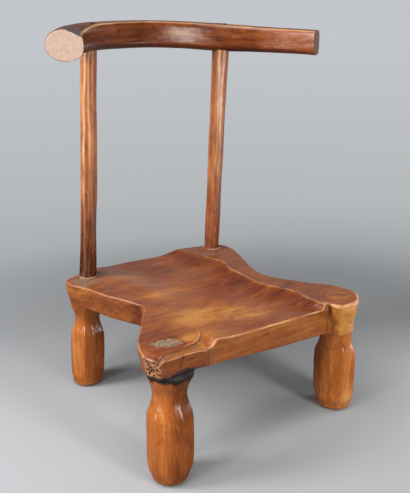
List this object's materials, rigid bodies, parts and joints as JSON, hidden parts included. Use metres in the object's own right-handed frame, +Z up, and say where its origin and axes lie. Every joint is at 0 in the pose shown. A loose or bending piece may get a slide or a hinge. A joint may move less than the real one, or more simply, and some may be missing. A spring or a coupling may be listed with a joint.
{
  "type": "birthing chair",
  "caption": "Low carved wooden birthing chair with a dished, waisted plank seat on bottle-shaped legs and a curved back rail on slender leaning posts.",
  "frame": {"origin": "on the floor, below the middle of the box round the whole chair", "axes": "+Z up, the sitter faces -Y, +X is to the right as seen from the front"},
  "size_m": [0.5942, 0.4757, 0.7577],
  "materials": {
    "seat_wood": "waxed, worn satin",
    "leg_wood": "polished by handling",
    "post_wood": "waxed satin",
    "rail_wood": "waxed satin, weathered on top",
    "wedge_wood": "dark end grain",
    "putty": "chalky wood filler"
  },
  "bodies": {
    "root": {"seat": "seat_wood", "front_left_leg": "leg_wood", "front_right_leg": "leg_wood", "back_left_leg": "leg_wood", "back_right_leg": "leg_wood", "front_left_wedge": "wedge_wood", "front_right_wedge": "wedge_wood", "left_post": "post_wood", "right_post": "post_wood", "left_post_wedge": "wedge_wood", "right_post_wedge": "wedge_wood", "left_post_putty": "putty", "right_post_putty": "putty", "back_rail": "rail_wood"}
  },
  "joints": []
}
